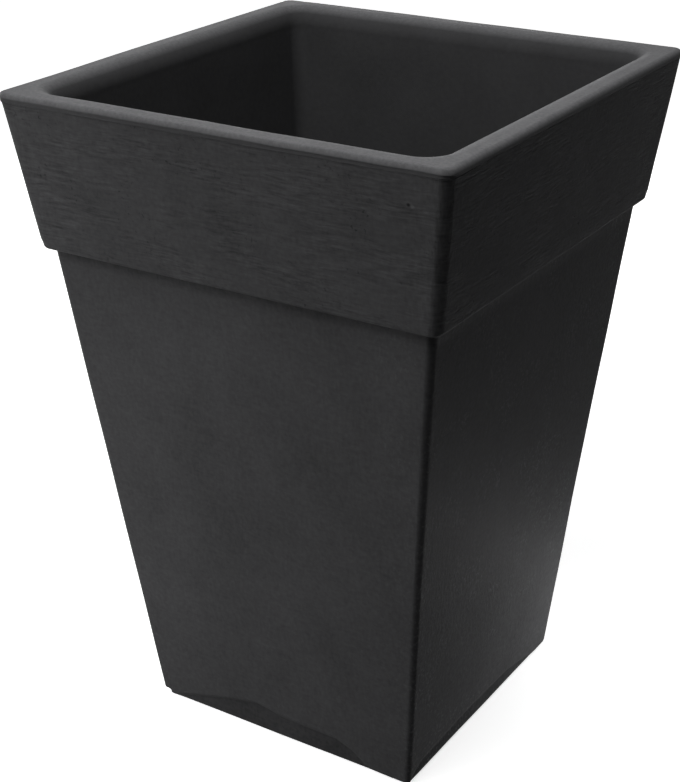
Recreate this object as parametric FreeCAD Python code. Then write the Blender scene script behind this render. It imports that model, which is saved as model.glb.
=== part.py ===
import FreeCAD, Part

import math
import os

# Tall square planter in glass-fibre laminate, tapered towards its base, with a deep collar
# and a thick rolled rim. It is built with two skins: a moulded outer shell, and a liner of flat
# panels. A moulded cap with the rolled rim closes the space between them. Millimetres, +Z up.
# The origin is on the floor, in the middle of the base. The front is -Y, the right-hand side
# is +X.

# ---- outside of the planter --------------------------------------------------
OVERALL_HEIGHT = 660.0        # floor to the top of the rim
FOOT_STAND = 2.0              # how far the rubber feet hold the base off the floor
BASE_WIDTH = 300.0            # across the underside of the shell
BODY_FLARE = 54.0             # how far each side leans out, from the base to the collar
COLLAR_HEIGHT = 150.0
COLLAR_STEP = 8.8             # how far the collar's lower edge stands proud of the body
COLLAR_FLARE = 19.4           # how far each side of the collar leans out over its height
BODY_CORNER_RADIUS = 8.0
COLLAR_CORNER_RADIUS = 11.0
COLLAR_EDGE_ROUND = 4.4       # rounding of the collar's lower edge
COLLAR_ROOT_FILLET = 3.0      # fillet where the body runs into the collar
BASE_EDGE_ROUND = 6.5
RIM_OUTER_ROUND = 6.4
RIM_INNER_ROLL = 20.0

# ---- arched relief under each side, so that the planter stands on its corners --
RELIEF_HEIGHT = 22.0          # top of the arch above the underside of the shell
RELIEF_SPAN = 230.0           # length of the arch along the base edge
RELIEF_DEPTH = 4.0            # how far it cuts into the base edge

# ---- skins and the space between them -----------------------------------------
WALL_BUILD = 21.0             # outer face to inner face of a side wall
SHELL_SKIN = 4.5
SHELL_FLOOR = 8.0
LINER_SKIN = 3.5
LINER_CORNER_RADIUS = 14.0
SEAM_DROP = 9.0               # the cap's skirt meets the shell this far below the top
TONGUE_LENGTH = 15.0          # lip of the cap that is bonded inside the shell
TONGUE_THICKNESS = 3.0
CAP_FLANGE_LENGTH = 43.0      # the cap's inner flange meets the liner this far below the top
BOND_GAP = 0.3                # thickness of a glue line
SEAT_GAP = 0.3                # between a lift-out piece and its seat

# ---- stiffeners between the skins ---------------------------------------------
FLOOR_CORE_THICKNESS = 18.0
RAIL_HEIGHT = 38.0
BOARD_END_GAP = 4.0           # from the end of a board or rail to the next wall's board

# ---- drain -----------------------------------------------------------------------
DRAIN_BORE = 30.0
SLEEVE_WALL = 3.0
SLEEVE_FLANGE_WIDTH = 64.0
SLEEVE_FLANGE_THICKNESS = 3.0
GASKET_THICKNESS = 2.0
DRAIN_WELL_WIDTH = 84.0       # recess in the underside that keeps the nut off the floor
DRAIN_WELL_DEPTH = 13.0
DRAIN_WELL_ROOF = 4.5
NUT_ACROSS_FLATS = 54.0
NUT_HEIGHT = 8.0
SLEEVE_TAIL = 2.0             # how far the sleeve shows below its nut
HOLE_CLEARANCE = 0.3          # radial, round the sleeve
THREAD_CLEARANCE = 0.15       # radial, between the sleeve and its nut, and round a screw

PLUG_CLEARANCE = 0.35         # radial, at the top of the plug's stem
PLUG_TAPER = 1.2              # how much thinner, in radius, the stem is at its tip
PLUG_STEM_LENGTH = 26.0
PLUG_FLANGE_WIDTH = 46.0
PLUG_FLANGE_THICKNESS = 4.0
PLUG_NECK_WIDTH = 14.0
PLUG_NECK_HEIGHT = 11.0
PLUG_KNOB_WIDTH = 26.0
PLUG_KNOB_HEIGHT = 9.0
PLUG_EDGE_ROUND = 1.5

# ---- feet -----------------------------------------------------------------------
FOOT_WIDTH = 42.0
FOOT_THICKNESS = 5.0
FOOT_INSET = 40.0             # centre of a foot from the base's outer faces
FOOT_SOCKET_CLEARANCE = 0.3
FOOT_EDGE_ROUND = 0.8
SCREW_SHANK = 4.0
SCREW_LENGTH = 18.0           # under the head
SCREW_HEAD_WIDTH = 8.5
SCREW_HEAD_HEIGHT = 2.4
SCREW_RECESS_WIDTH = 10.0
SCREW_RECESS_DEPTH = 3.0
SCREW_SOCKET_WIDTH = 2.5      # hexagon key, across flats
SCREW_SOCKET_DEPTH = 1.4

# ---- lift-out planting shelf ------------------------------------------------------
SHELF_HEIGHT = 300.0          # underside of the shelf above the floor
SHELF_THICKNESS = 10.0
SHELF_CLEARANCE = 3.0         # between its edge and the liner
SHELF_EDGE_ROUND = 2.0
SHELF_HOLE_WIDTH = 32.0       # drainage and finger holes
SHELF_HOLE_SPACING = 150.0
CLEAT_LENGTH = 90.0
CLEAT_HEIGHT = 28.0
CLEAT_SHELF = 22.0            # how far a cleat stands out under the shelf
CLEAT_TOE = 7.0               # how far it stands out at its lower end

SIDES = 4
HEX_SIDES = 6
SIDE_NAMES = ("front", "right", "back", "left")
CORNER_NAMES = ("front_left", "front_right", "back_right", "back_left")
UP = FreeCAD.Vector(0, 0, 1)
AXIS = FreeCAD.Vector(0, 0, 0)
OVERLAP = 1.0                 # by which cutting shapes run past what they cut
TOUCH = 0.01                  # tolerance for finding an edge by its height
ROUND_LIMIT = 0.9             # share of a wall or corner that a rounding may take

# ---- heights and half widths worked out from the sizes above ------------------------
base_z = FOOT_STAND
collar_z = OVERALL_HEIGHT - COLLAR_HEIGHT
seam_z = OVERALL_HEIGHT - SEAM_DROP
shell_floor_z = base_z + SHELL_FLOOR
floor_core_z = shell_floor_z + BOND_GAP
floor_core_top_z = floor_core_z + FLOOR_CORE_THICKNESS
liner_under_z = floor_core_top_z + BOND_GAP
liner_floor_z = liner_under_z + LINER_SKIN
cap_end_z = OVERALL_HEIGHT - CAP_FLANGE_LENGTH
well_z = base_z + DRAIN_WELL_DEPTH
well_roof_z = well_z + DRAIN_WELL_ROOF
flange_z = liner_floor_z + GASKET_THICKNESS
flange_top_z = flange_z + SLEEVE_FLANGE_THICKNESS
nut_z = well_z - NUT_HEIGHT
sleeve_end_z = nut_z - SLEEVE_TAIL
bore_radius = DRAIN_BORE / 2
sleeve_radius = bore_radius + SLEEVE_WALL


def body_half(z):
    """Half width of the body's outer faces at a height, carried on as a straight line."""
    return BASE_WIDTH / 2 + BODY_FLARE * (z - base_z) / (collar_z - base_z)


def collar_half(z):
    """Half width of the collar's outer faces at a height."""
    return body_half(collar_z) + COLLAR_STEP + COLLAR_FLARE * (z - collar_z) / COLLAR_HEIGHT


def liner_half(z):
    """Half width of the liner's inner faces, which run parallel to the body."""
    return body_half(z) - WALL_BUILD


def liner_outer(z):
    """Half width of the side of the liner that faces the shell."""
    return liner_half(z) + LINER_SKIN


def liner_back(z):
    """The same, with the glue line of what is bonded to it."""
    return liner_outer(z) + BOND_GAP


def shell_back(z):
    """Half width of the side of the body that faces the liner, with its glue line."""
    return body_half(z) - SHELL_SKIN - BOND_GAP


def collar_back(z):
    """Half width of the side of the collar that faces the liner, with its glue line."""
    return collar_half(z) - SHELL_SKIN - BOND_GAP


def turned(x, y, z, quarter):
    """A point turned about the planter's axis by a number of quarter turns."""
    angle = math.radians(quarter * 360 / SIDES)
    cosine = round(math.cos(angle))
    sine = round(math.sin(angle))
    return FreeCAD.Vector(cosine * x - sine * y, sine * x + cosine * y, z)


def on_side(shape, quarter):
    """A copy of a front piece, turned to another side of the planter."""
    copy = shape.copy()
    copy.rotate(AXIS, UP, quarter * 360 / SIDES)
    return copy


def square_wire(half, radius, z):
    """Outline of a square with rounded corners, lying at a height."""
    flat = half - radius
    knee = flat + radius * math.sqrt(0.5)
    edges = []
    for quarter in range(SIDES):
        start = turned(half, -flat, z, quarter)
        end = turned(half, flat, z, quarter)
        bend = turned(knee, knee, z, quarter)
        edges.append(Part.makeLine(start, end))
        edges.append(Part.Arc(end, bend, turned(flat, half, z, quarter)).toShape())
    return Part.Wire(edges)


def tapered_block(width_line, low_z, high_z, radius, inset=0.0):
    """Solid square block whose half width follows a line, less an inset, from one height to
    another, with the same corner radius all the way up."""
    outlines = []
    for z in (low_z, high_z):
        outlines.append(square_wire(width_line(z) - inset, radius, z))
    return Part.makeLoft(outlines, True, True)


def wall_piece(inner_line, outer_line, low_z, high_z, inner_end, outer_end):
    """Solid along the front wall between two leaning faces. Its ends run from one line on the
    inner face to another on the outer face."""
    outlines = []
    for z in (low_z, high_z):
        corners = [
            FreeCAD.Vector(-outer_end(z), -outer_line(z), z),
            FreeCAD.Vector(outer_end(z), -outer_line(z), z),
            FreeCAD.Vector(inner_end(z), -inner_line(z), z),
            FreeCAD.Vector(-inner_end(z), -inner_line(z), z),
        ]
        outlines.append(Part.makePolygon(corners + corners[:1]))
    return Part.makeLoft(outlines, True, True)


def level_edges(shape, z, beyond=0.0, within=math.inf):
    """Edges that lie at a height and reach between two distances from the axis."""
    found = []
    for edge in shape.Edges:
        box = edge.BoundBox
        reach = max(box.XMax, -box.XMin, box.YMax, -box.YMin)
        level = abs(box.ZMin - z) < TOUCH and abs(box.ZMax - z) < TOUCH
        if level and beyond < reach < within:
            found.append(edge)
    return found


def cylinder(radius, low_z, high_z, x=0.0, y=0.0):
    """Upright cylinder between two heights."""
    return Part.makeCylinder(radius, high_z - low_z, FreeCAD.Vector(x, y, low_z))


def hexagon_prism(across_flats, low_z, high_z, x=0.0, y=0.0):
    """Upright hexagonal bar between two heights."""
    corner_radius = across_flats / 2 / math.cos(math.pi / HEX_SIDES)
    corners = []
    for step in range(HEX_SIDES + 1):
        angle = 2 * math.pi * step / HEX_SIDES
        corners.append(FreeCAD.Vector(
            x + corner_radius * math.cos(angle), y + corner_radius * math.sin(angle), low_z))
    face = Part.Face(Part.makePolygon(corners))
    return face.extrude(UP * (high_z - low_z))


def foot_places():
    """Centres of the feet, in the order of the corner names."""
    reach = BASE_WIDTH / 2 - FOOT_INSET
    return [(-reach, -reach), (reach, -reach), (reach, reach), (-reach, reach)]


def relief_ball():
    """Ball that dishes the front base edge. Its round print on the wall is an arch of the
    relief's span and height, and it goes deepest at the base edge."""
    half_span = RELIEF_SPAN / 2
    print_radius = (half_span ** 2 + RELIEF_HEIGHT ** 2) / (2 * RELIEF_HEIGHT)
    edge_radius = print_radius - RELIEF_HEIGHT
    cap_depth = RELIEF_DEPTH / (1 - (edge_radius / print_radius) ** 2)
    ball_radius = (print_radius ** 2 + cap_depth ** 2) / (2 * cap_depth)
    lean = math.atan2(BODY_FLARE, collar_z - base_z)
    print_z = base_z - edge_radius * math.cos(lean)
    standoff = ball_radius - cap_depth
    centre = FreeCAD.Vector(
        0,
        -body_half(print_z) - standoff * math.cos(lean),
        print_z - standoff * math.sin(lean))
    return Part.makeSphere(ball_radius, centre)


def outer_shell():
    """Laminate shell with the body, the collar and the floor, open at the top."""
    body = tapered_block(body_half, base_z, collar_z + SHELL_SKIN, BODY_CORNER_RADIUS)
    collar = tapered_block(collar_half, collar_z, seam_z, COLLAR_CORNER_RADIUS)
    shell = body.fuse(collar)
    step_middle = body_half(collar_z) + COLLAR_STEP / 2
    shell = shell.makeFillet(
        min(COLLAR_EDGE_ROUND, COLLAR_STEP / 2), level_edges(shell, collar_z, step_middle))
    shell = shell.makeFillet(
        min(COLLAR_ROOT_FILLET, COLLAR_STEP / 2),
        level_edges(shell, collar_z, 0.0, step_middle))
    shell = shell.makeFillet(
        min(BASE_EDGE_ROUND, ROUND_LIMIT * BODY_CORNER_RADIUS), level_edges(shell, base_z))
    hollow_body = tapered_block(
        body_half, shell_floor_z, collar_z + SHELL_SKIN + OVERLAP,
        BODY_CORNER_RADIUS - SHELL_SKIN, SHELL_SKIN)
    hollow_collar = tapered_block(
        collar_half, collar_z + SHELL_SKIN, seam_z + OVERLAP,
        COLLAR_CORNER_RADIUS - SHELL_SKIN, SHELL_SKIN)
    shell = shell.cut(hollow_body.fuse(hollow_collar))
    shell = shell.fuse(cylinder(
        DRAIN_WELL_WIDTH / 2 + DRAIN_WELL_ROOF, shell_floor_z - OVERLAP, well_roof_z))
    shell = shell.cut(cylinder(DRAIN_WELL_WIDTH / 2, base_z - OVERLAP, well_z))
    shell = shell.cut(cylinder(
        sleeve_radius + HOLE_CLEARANCE, base_z, well_roof_z + OVERLAP))
    for x, y in foot_places():
        socket_top_z = FOOT_THICKNESS
        shell = shell.cut(cylinder(
            FOOT_WIDTH / 2 + FOOT_SOCKET_CLEARANCE, base_z - OVERLAP, socket_top_z, x, y))
        shell = shell.cut(cylinder(
            SCREW_SHANK / 2 + THREAD_CLEARANCE, base_z, shell_floor_z + OVERLAP, x, y))
    ball = relief_ball()
    for quarter in range(SIDES):
        shell = shell.cut(on_side(ball, quarter))
    return shell


def rim_cap():
    """Moulded cap with the rolled rim. Its skirt and tongue join it to the shell, and its inner
    flange meets the liner's panels."""
    flange = tapered_block(
        liner_outer, cap_end_z, OVERALL_HEIGHT, LINER_CORNER_RADIUS + LINER_SKIN)
    skirt = tapered_block(
        collar_half, seam_z + BOND_GAP, OVERALL_HEIGHT, COLLAR_CORNER_RADIUS)
    skirt = skirt.makeFillet(
        min(RIM_OUTER_ROUND, ROUND_LIMIT * SEAM_DROP, ROUND_LIMIT * COLLAR_CORNER_RADIUS),
        level_edges(skirt, OVERALL_HEIGHT))
    tongue_inset = SHELL_SKIN + BOND_GAP
    tongue = tapered_block(
        collar_half, seam_z - TONGUE_LENGTH, seam_z + SEAM_DROP / 2,
        COLLAR_CORNER_RADIUS - tongue_inset, tongue_inset)
    cap = skirt.fuse(tongue).fuse(flange)

    mouth = tapered_block(
        liner_half, cap_end_z - OVERLAP, OVERALL_HEIGHT + OVERLAP, LINER_CORNER_RADIUS)
    cap = cap.cut(mouth)
    rim_width = collar_half(OVERALL_HEIGHT) - liner_half(OVERALL_HEIGHT)
    roll = min(RIM_INNER_ROLL, ROUND_LIMIT * (rim_width - RIM_OUTER_ROUND))
    cap = cap.makeFillet(roll, level_edges(
        cap, OVERALL_HEIGHT, 0.0, liner_half(OVERALL_HEIGHT) + OVERLAP))

    hollow_top_z = OVERALL_HEIGHT - LINER_SKIN
    hollow = tapered_block(
        collar_half, seam_z - TONGUE_LENGTH - OVERLAP, hollow_top_z,
        ROUND_LIMIT * (COLLAR_CORNER_RADIUS - tongue_inset), tongue_inset + TONGUE_THICKNESS)
    hollow = hollow.cut(tapered_block(
        liner_outer, cap_end_z - OVERLAP, OVERALL_HEIGHT, LINER_CORNER_RADIUS + LINER_SKIN))
    hollow = hollow.makeFillet(roll - LINER_SKIN, level_edges(
        hollow, hollow_top_z, 0.0, liner_outer(hollow_top_z) + OVERLAP))
    return cap.cut(hollow)


def liner_panel():
    """Flat laminate panel of the front inner wall, mitred to its neighbours."""
    return wall_piece(
        liner_half, liner_outer, liner_floor_z + BOND_GAP, cap_end_z - BOND_GAP,
        lambda z: liner_half(z) - BOND_GAP / 2,
        lambda z: liner_outer(z) - BOND_GAP / 2)


def liner_floor():
    """Laminate floor of the liner, which its panels stand on."""
    plate = tapered_block(
        liner_outer, liner_under_z, liner_floor_z, LINER_CORNER_RADIUS + LINER_SKIN)
    return plate.cut(cylinder(
        sleeve_radius + HOLE_CLEARANCE, liner_under_z - OVERLAP, liner_floor_z + OVERLAP))


def corner_bead(quarter):
    """Bead of filled resin that rounds off an upright corner between two panels."""
    outlines = []
    for z in (liner_floor_z + BOND_GAP, cap_end_z - BOND_GAP):
        corner = liner_half(z) - BOND_GAP
        tangent = corner - LINER_CORNER_RADIUS
        middle = tangent + LINER_CORNER_RADIUS * math.sqrt(0.5)
        apex = turned(corner, corner, z, quarter)
        start = turned(corner, tangent, z, quarter)
        bend = turned(middle, middle, z, quarter)
        end = turned(tangent, corner, z, quarter)
        outlines.append(Part.Wire([
            Part.Arc(start, bend, end).toShape(),
            Part.makeLine(end, apex),
            Part.makeLine(apex, start),
        ]))
    return Part.makeLoft(outlines, True, True)


def corner_beads():
    """The beads in all the corners, as separate solids."""
    return Part.makeCompound([corner_bead(quarter) for quarter in range(SIDES)])


def board_end(z):
    """Half length of a board or rail on the back of the liner."""
    return liner_back(z) - BOARD_END_GAP


def core_board():
    """Foam board that fills the front wall between the skins, under the collar."""
    return wall_piece(
        liner_back, shell_back, floor_core_top_z + BOND_GAP, collar_z, board_end, board_end)


def rim_rail():
    """Wooden rail that stiffens the front of the collar, just under the cap's tongue. It backs
    the joint between the cap's flange and the liner."""
    top_z = seam_z - TONGUE_LENGTH - BOND_GAP
    return wall_piece(
        liner_back, collar_back, top_z - RAIL_HEIGHT, top_z, board_end, board_end)


def floor_core():
    """Plywood board between the two floors, which the feet are screwed to."""
    board = tapered_block(
        body_half, floor_core_z, floor_core_top_z,
        BODY_CORNER_RADIUS - SHELL_SKIN, SHELL_SKIN + BOND_GAP)
    board = board.cut(cylinder(
        DRAIN_WELL_WIDTH / 2 + DRAIN_WELL_ROOF + HOLE_CLEARANCE,
        floor_core_z - OVERLAP, floor_core_top_z + OVERLAP))
    pilot_top_z = SCREW_RECESS_DEPTH + SCREW_LENGTH + OVERLAP
    for x, y in foot_places():
        board = board.cut(cylinder(
            SCREW_SHANK / 2 + THREAD_CLEARANCE, floor_core_z - OVERLAP, pilot_top_z, x, y))
    return board


def drain_sleeve():
    """Flanged sleeve that carries water through both floors."""
    tube = cylinder(sleeve_radius, sleeve_end_z, flange_top_z)
    flange = cylinder(SLEEVE_FLANGE_WIDTH / 2, flange_z, flange_top_z)
    flange = flange.makeFillet(
        SLEEVE_FLANGE_THICKNESS / 2, level_edges(flange, flange_top_z))
    return tube.fuse(flange).cut(cylinder(
        bore_radius, sleeve_end_z - OVERLAP, flange_top_z + OVERLAP))


def drain_gasket():
    """Rubber washer under the sleeve's flange."""
    washer = cylinder(SLEEVE_FLANGE_WIDTH / 2, liner_floor_z, flange_z)
    return washer.cut(cylinder(
        sleeve_radius + HOLE_CLEARANCE, liner_floor_z - OVERLAP, flange_z + OVERLAP))


def drain_nut():
    """Hexagonal nut that clamps the sleeve against the roof of the well."""
    nut = hexagon_prism(NUT_ACROSS_FLATS, nut_z, well_z)
    return nut.cut(cylinder(
        sleeve_radius + THREAD_CLEARANCE, nut_z - OVERLAP, well_z + OVERLAP))


def drain_plug():
    """Rubber plug with a tapered stem, a flange that seats on the sleeve and a grip knob."""
    seat_z = flange_top_z + SEAT_GAP
    flange_end_z = seat_z + PLUG_FLANGE_THICKNESS
    knob_z = flange_end_z + PLUG_NECK_HEIGHT
    stem_radius = bore_radius - PLUG_CLEARANCE
    stem = Part.makeCone(
        stem_radius - PLUG_TAPER, stem_radius, PLUG_STEM_LENGTH,
        FreeCAD.Vector(0, 0, seat_z - PLUG_STEM_LENGTH))
    flange = cylinder(PLUG_FLANGE_WIDTH / 2, seat_z, flange_end_z)
    flange = flange.makeFillet(PLUG_EDGE_ROUND, level_edges(flange, flange_end_z))
    neck = cylinder(PLUG_NECK_WIDTH / 2, flange_end_z, knob_z)
    knob = cylinder(PLUG_KNOB_WIDTH / 2, knob_z, knob_z + PLUG_KNOB_HEIGHT)
    knob = knob.makeFillet(
        PLUG_EDGE_ROUND, level_edges(knob, knob_z) + level_edges(knob, knob_z + PLUG_KNOB_HEIGHT))
    return stem.fuse(flange).fuse(neck).fuse(knob)


def foot(x, y):
    """Rubber foot in its socket, with a recess that keeps the screw's head off the floor."""
    pad = cylinder(FOOT_WIDTH / 2, 0.0, FOOT_THICKNESS, x, y)
    pad = pad.makeFillet(FOOT_EDGE_ROUND, level_edges(pad, 0.0))
    pad = pad.cut(cylinder(SCREW_RECESS_WIDTH / 2, -OVERLAP, SCREW_RECESS_DEPTH, x, y))
    return pad.cut(cylinder(
        SCREW_SHANK / 2 + THREAD_CLEARANCE, 0.0, FOOT_THICKNESS + OVERLAP, x, y))


def foot_screw(x, y):
    """Pan-head screw that holds a foot, with a socket for a hexagon key."""
    head_z = SCREW_RECESS_DEPTH - SCREW_HEAD_HEIGHT
    head = cylinder(SCREW_HEAD_WIDTH / 2, head_z, SCREW_RECESS_DEPTH, x, y)
    shank = cylinder(
        SCREW_SHANK / 2, SCREW_RECESS_DEPTH, SCREW_RECESS_DEPTH + SCREW_LENGTH, x, y)
    socket = hexagon_prism(
        SCREW_SOCKET_WIDTH, head_z - OVERLAP, head_z + SCREW_SOCKET_DEPTH, x, y)
    return head.fuse(shank).cut(socket)


def foot_screws():
    """All the foot screws, as separate solids."""
    return Part.makeCompound([foot_screw(x, y) for x, y in foot_places()])


def shelf_hole_places():
    """Centres of the shelf's holes: one in each quarter and one in the middle."""
    reach = SHELF_HOLE_SPACING / 2
    return [(-reach, -reach), (reach, -reach), (reach, reach), (-reach, reach), (0.0, 0.0)]


def shelf():
    """Lift-out panel that carries the soil, with holes that drain it and take a finger."""
    half = liner_half(SHELF_HEIGHT) - SHELF_CLEARANCE
    top_z = SHELF_HEIGHT + SHELF_THICKNESS
    panel = tapered_block(lambda z: half, SHELF_HEIGHT, top_z, LINER_CORNER_RADIUS)
    panel = panel.makeFillet(
        SHELF_EDGE_ROUND, level_edges(panel, SHELF_HEIGHT) + level_edges(panel, top_z))
    for x, y in shelf_hole_places():
        panel = panel.cut(cylinder(
            SHELF_HOLE_WIDTH / 2, SHELF_HEIGHT - OVERLAP, top_z + OVERLAP, x, y))
    return panel


def shelf_cleat():
    """Bracket bonded to the front wall of the liner, whose flat top carries the shelf."""
    top_z = SHELF_HEIGHT - SEAT_GAP
    low_z = top_z - CLEAT_HEIGHT

    def back(z):
        return liner_half(z) - BOND_GAP

    def nose(z):
        reach = CLEAT_TOE + (CLEAT_SHELF - CLEAT_TOE) * (z - low_z) / CLEAT_HEIGHT
        return back(z) - reach

    def end(z):
        return CLEAT_LENGTH / 2

    return wall_piece(nose, back, low_z, top_z, end, end)


def all_pieces():
    """Every piece of the planter, by the name of its node."""
    pieces = {
        "outer_shell": outer_shell(),
        "rim_cap": rim_cap(),
        "liner_floor": liner_floor(),
        "corner_beads": corner_beads(),
        "floor_core": floor_core(),
        "drain_sleeve": drain_sleeve(),
        "drain_gasket": drain_gasket(),
        "drain_nut": drain_nut(),
        "drain_plug": drain_plug(),
        "foot_screws": foot_screws(),
        "shelf": shelf(),
    }
    for corner, (x, y) in zip(CORNER_NAMES, foot_places()):
        pieces["foot_" + corner] = foot(x, y)
    wall_pieces = {
        "liner_panel_": liner_panel(),
        "core_board_": core_board(),
        "rim_rail_": rim_rail(),
        "shelf_cleat_": shelf_cleat(),
    }
    for name, front_piece in wall_pieces.items():
        for quarter, side in enumerate(SIDE_NAMES):
            pieces[name + side] = on_side(front_piece, quarter)
    return pieces


os.makedirs("parts", exist_ok=True)
for node, shape in all_pieces().items():
    shape.exportStep("parts/" + node + ".step")
    print(node, len(shape.Solids), "solid(s)", shape.isValid(), round(shape.Volume / 1000.0, 1), "cm3")
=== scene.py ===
"""Tall square planter in glass-fibre laminate, dressed round its CAD frame.

The shell, the rolled rim and the liner are surfaces worked out on grids, with the small
unevenness of hand-laid laminate. Every other piece is the CAD's own. Metres, +Z up, the
front is -Y and the right-hand side is +X.
"""

import math

import bpy
import numpy as np
from mathutils import Matrix, Vector


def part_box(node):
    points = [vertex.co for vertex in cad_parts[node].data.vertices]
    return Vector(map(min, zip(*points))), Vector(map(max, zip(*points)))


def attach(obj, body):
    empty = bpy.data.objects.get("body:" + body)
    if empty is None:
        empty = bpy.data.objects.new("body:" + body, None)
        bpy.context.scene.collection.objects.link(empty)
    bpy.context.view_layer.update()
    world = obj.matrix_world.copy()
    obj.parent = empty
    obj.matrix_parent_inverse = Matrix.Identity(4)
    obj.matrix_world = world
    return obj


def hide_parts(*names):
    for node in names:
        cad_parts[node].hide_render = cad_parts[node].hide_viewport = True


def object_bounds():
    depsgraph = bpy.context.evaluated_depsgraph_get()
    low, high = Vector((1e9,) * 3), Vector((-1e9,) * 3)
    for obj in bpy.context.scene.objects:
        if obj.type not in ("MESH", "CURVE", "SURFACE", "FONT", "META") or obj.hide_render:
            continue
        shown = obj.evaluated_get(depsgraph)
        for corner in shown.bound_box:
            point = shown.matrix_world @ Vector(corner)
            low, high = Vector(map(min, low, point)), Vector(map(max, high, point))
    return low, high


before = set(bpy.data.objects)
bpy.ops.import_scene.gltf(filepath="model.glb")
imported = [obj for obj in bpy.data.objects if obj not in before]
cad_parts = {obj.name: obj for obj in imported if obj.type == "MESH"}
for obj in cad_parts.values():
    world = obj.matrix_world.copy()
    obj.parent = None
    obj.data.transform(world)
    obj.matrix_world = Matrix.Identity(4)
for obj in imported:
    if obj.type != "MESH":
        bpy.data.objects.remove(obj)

bl_info = {
    "name": "Tall laminate planter",
    "version": (1, 0, 0),
    "blender": (4, 5, 0),
    "location": "3D View > Sidebar > Planter",
    "description": "Builds the skins, finishes and stage of a tall square planter",
    "category": "Add Mesh",
}

# ---- sizes read from the frame, and the glue line between its pieces ---------------------
BOND_GAP = 0.0003
CAD_LOW, CAD_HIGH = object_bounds()
RIM_TOP = CAD_HIGH.z
BASE_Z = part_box("outer_shell")[0].z
SEAM_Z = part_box("outer_shell")[1].z
COLLAR_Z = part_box("core_board_front")[1].z
CAP_END_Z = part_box("rim_cap")[0].z
LINER_UNDER_Z, LINER_FLOOR_Z = (corner.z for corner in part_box("liner_floor"))
TONGUE_END_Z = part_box("rim_rail_front")[1].z + BOND_GAP

# ---- sizes of the moulded skins ----------------------------------------------------------
BASE_HALF = 0.150
BODY_FLARE = 0.054
COLLAR_STEP = 0.0088
COLLAR_FLARE = 0.0194
RIM_HALF = BASE_HALF + BODY_FLARE + COLLAR_STEP + COLLAR_FLARE
WALL_BUILD = 0.021
SHELL_SKIN = 0.0045
SHELL_FLOOR = 0.008
LINER_SKIN = 0.0035
BODY_CORNER_LOW = 0.0050
BODY_CORNER_HIGH = 0.0080
COLLAR_CORNER = 0.011
LINER_CORNER = 0.014
COLLAR_EDGE_ROUND = 0.0044
COLLAR_ROOT_FILLET = 0.003
BASE_EDGE_ROUND = 0.0026
SEAM_EDGE_ROUND = 0.0004
RIM_OUTER_ROUND = 0.0064
RIM_INNER_ROLL = 0.020
LINER_FLOOR_FILLET = 0.006
TONGUE_INSET = 0.0048
TONGUE_THICKNESS = 0.003
SLEEVE_RADIUS = 0.0183
WELL_RADIUS = 0.042
WELL_DEPTH = 0.013
WELL_ROOF = 0.0045

# ---- hand work and wear ------------------------------------------------------------------
# Wavelengths of a face's wander, the height under the cap in which the liner's grows to its
# full, and the seeds of each wander.
WANDER_SHORTEST = 0.09
WANDER_LONGEST = 0.26
LINER_CALM = 0.04
SHELL_SEED = 11
RIM_SEED = 23
LINER_SEED = 37
FLASH_SEED = 45
LIP_SEED = 71
BEAD_SWELL_SEED = 5
BEAD_HEIGHT_SEED = 6

# The chip in the base edge, and how softly it starts along the edge and up the face.
CHIP_DEPTH = 0.0045
CHIP_HEIGHT = 0.006
CHIP_SPREAD = 0.010
CHIP_FADE = 0.004
CHIP_EDGE = 0.0015

# How far a side bellies out at its foot, and the height at which that starts.
BELLY = 0.0020
BELLY_TOP = 0.300

# The flash on the rim's edge: its drop under the rim's top and how far that wanders, how far it
# stands out of the collar's line, the width of its flat and of its bevel, how thin its edge is,
# and the step in under it.
LIP_DROP = 0.0052
LIP_WANDER = 0.0006
LIP_OUT = 0.0004
LIP_FLAT = 0.0030
LIP_BEVEL = 0.0019
LIP_EDGE = 0.0002
LIP_STEP = 0.0009

# A pinhole in the collar's front, and the nib of coat beside it: the coat is painted darker at the
# pinhole, a painted shade in the hole, and paler at the nib, a painted highlight on its raised top.
PINHOLE = (0.1928, -0.2277, 0.6253)
PINHOLE_NIB = (0.1963, -0.2275, 0.6243)

# How much of the flash was left on, and how much of the belly there is, on the front,
# right-hand, back and left sides.
FLASH_LEFT = (1.0, 0.12, 0.45, 0.55)
BELLIED_SIDES = (0.0, 1.0, 0.0, 0.0)

# The hollow over the base edge: how far over its line it starts, the line's height at which it
# can start and is full, and the share of its depth that is left at the base edge.
HOLLOW_FADE = 0.0012
HOLLOW_LEAST = 0.004
HOLLOW_FULL = 0.006
HOLLOW_AT_BASE = 0.25

# The hollow's line, side by side: places along the side, and its height over the base at each.
HOLLOWS = (
    ((-0.140, -0.110, -0.060, -0.026, 0.004, 0.070, 0.088, 0.102, 0.134),
     (0.000, 0.011, 0.026, 0.034, 0.028, 0.026, 0.018, 0.006, 0.000)),
    ((-0.146, -0.128, -0.070, -0.020, 0.055, 0.095, 0.130),
     (0.006, 0.017, 0.019, 0.021, 0.018, 0.010, 0.000)),
    ((-0.130, -0.090, -0.020, 0.050, 0.100, 0.135),
     (0.000, 0.016, 0.024, 0.012, 0.014, 0.000)),
    ((-0.120, -0.070, 0.000, 0.060, 0.110, 0.140),
     (0.000, 0.008, 0.022, 0.025, 0.010, 0.000)),
)

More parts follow.
